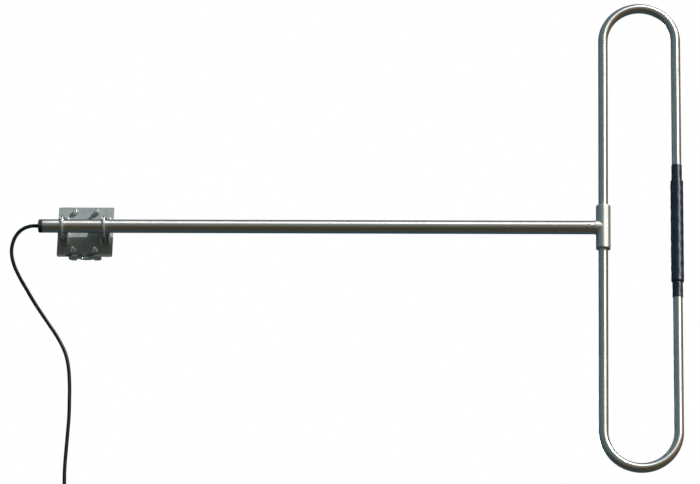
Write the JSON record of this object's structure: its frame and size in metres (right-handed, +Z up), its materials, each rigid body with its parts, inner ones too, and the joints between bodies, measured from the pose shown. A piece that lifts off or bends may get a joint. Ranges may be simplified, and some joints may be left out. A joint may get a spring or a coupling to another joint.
{
  "type": "fm dipole antenna",
  "caption": "Side-mounted folded dipole antenna on a round boom, with a mast clamp of bent bolts and notched saddles and a coaxial lead ending in a screw-on plug.",
  "frame": {"origin": "on the axis of the mast that the clamp takes, at the height of the boom's axis", "axes": "+Z up the mast, +X along the boom from the mast to the loop, -Y the front, where the boom stands off the mast"},
  "size_m": [1.8833, 0.14, 1.6214],
  "materials": {
    "stainless_tube": "bright drawn",
    "cast_steel": "satin",
    "clamp_sheet": "mill",
    "bolt_steel": "bright",
    "black_rubber": "satin",
    "black_sleeve": "satin",
    "cable_jacket": "satin",
    "white_insulator": "satin",
    "line_jacket": "gloss",
    "brass": "turned",
    "nickel_plate": "plated",
    "black_strap": "woven"
  },
  "bodies": {
    "root": {"boom_tube": "stainless_tube", "boom_end_plug": "black_rubber", "tee_fitting": "cast_steel", "boom_lock_screw": "bolt_steel", "upper_loop_tube": "stainless_tube", "lower_loop_tube": "stainless_tube", "feed_core": "white_insulator", "terminal_screws": "brass", "feed_sleeve": "black_sleeve", "upper_collar": "black_sleeve", "lower_collar": "black_sleeve", "clamp_plate": "clamp_sheet", "mast_saddle": "clamp_sheet", "left_boom_saddle": "clamp_sheet", "right_boom_saddle": "clamp_sheet", "left_boom_bolt": "bolt_steel", "right_boom_bolt": "bolt_steel", "upper_mast_bolt": "bolt_steel", "lower_mast_bolt": "bolt_steel", "boom_bolt_washers": "bolt_steel", "boom_spring_washers": "bolt_steel", "boom_bolt_nuts": "bolt_steel", "mast_bolt_washers": "bolt_steel", "mast_spring_washers": "bolt_steel", "mast_bolt_nuts": "bolt_steel", "cable_lead_in": "cable_jacket", "cable_joint": "black_sleeve", "loop_line": "line_jacket", "coax_cable": "cable_jacket", "cable_coil": "cable_jacket", "coil_tie": "black_strap", "cable_tail": "cable_jacket", "connector_clamp_nut": "nickel_plate", "connector_body": "nickel_plate", "connector_coupling": "nickel_plate", "connector_insert": "white_insulator", "connector_pin": "brass"}
  },
  "joints": []
}
